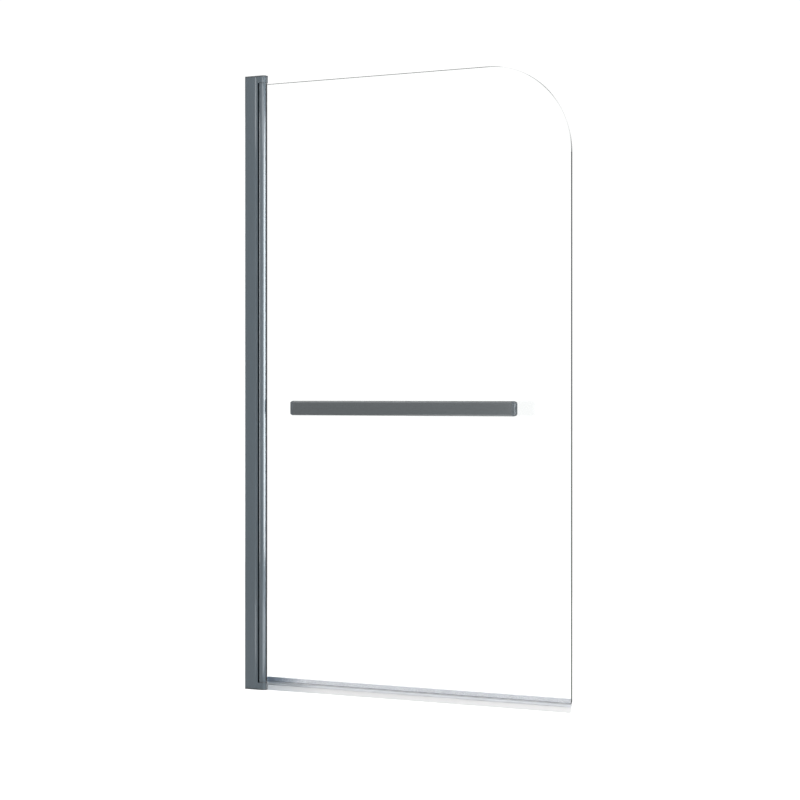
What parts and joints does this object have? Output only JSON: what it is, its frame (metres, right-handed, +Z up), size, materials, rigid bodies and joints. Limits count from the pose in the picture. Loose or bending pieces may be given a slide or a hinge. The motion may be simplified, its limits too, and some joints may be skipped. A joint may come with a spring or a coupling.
{
  "type": "shower door",
  "caption": "Hinged glass bath screen: slim wall post with a sliding width adjuster, pivoting clear pane with a rounded top corner, flat towel rail and a clear wiping seal.",
  "frame": {"origin": "middle of the wall profile's flat back, on the wall plane, half way up the post", "axes": "+X from the wall towards the free edge of the glass, +Z up, +Y away from the towel rail's side"},
  "size_m": [0.8, 0.0707, 1.4],
  "materials": {
    "coated_profile": "satin gunmetal powder coat",
    "coated_casting": "satin gunmetal coat on castings",
    "cover_plastic": "matt dark grey",
    "bush_plastic": "natural white acetal",
    "washer_plastic": "black low-friction plastic",
    "bright_steel": "plain stainless steel",
    "black_rubber": "matt black",
    "packer_plastic": "dark grey",
    "clear_glass": "clear polished",
    "clip_plastic": "clear rigid plastic",
    "skirt_plastic": "clear soft plastic",
    "rail_metal": "satin gunmetal powder coat",
    "pad_plastic": "clear soft plastic"
  },
  "bodies": {
    "wall_channel": {"wall_profile": "coated_profile"},
    "post_insert": {"inner_profile": "coated_profile", "top_hinge_block": "coated_casting", "bottom_hinge_block": "coated_casting", "top_pivot_bush": "bush_plastic", "bottom_pivot_bush": "bush_plastic", "top_thrust_washer": "washer_plastic", "bottom_thrust_washer": "washer_plastic", "top_end_cover": "cover_plastic", "bottom_end_cover": "cover_plastic", "block_screws": "bright_steel", "lock_screws": "bright_steel", "lock_screw_caps": "cover_plastic", "front_fin_seal": "black_rubber", "rear_fin_seal": "black_rubber"},
    "door": {"hinge_profile": "coated_profile", "top_pivot_plate": "coated_casting", "bottom_pivot_plate": "coated_casting", "top_pivot_pin": "bright_steel", "bottom_pivot_pin": "bright_steel", "plate_screws": "bright_steel", "front_glazing_gasket": "black_rubber", "rear_glazing_gasket": "black_rubber", "glass_packers": "packer_plastic", "glass_panel": "clear_glass", "seal_clip": "clip_plastic", "seal_skirt": "skirt_plastic", "towel_rail": "rail_metal", "near_rail_cap": "cover_plastic", "far_rail_cap": "cover_plastic", "near_standoff": "rail_metal", "far_standoff": "rail_metal", "outer_glass_washers": "pad_plastic", "inner_glass_washers": "pad_plastic", "glass_hole_sleeves": "pad_plastic", "rear_discs": "rail_metal", "rail_bolts": "bright_steel", "rail_nut_plates": "bright_steel"}
  },
  "joints": [
    {"name": "width_adjust", "type": "slide", "parent": "wall_channel", "child": "post_insert", "axis": [1, 0, 0], "range_m": [0, 0.01]},
    {"name": "door_swing", "type": "hinge", "parent": "post_insert", "child": "door", "pos_m": [0.0429, 0, 0], "axis": [0, 0, 1], "range_deg": [-80, 90]}
  ]
}
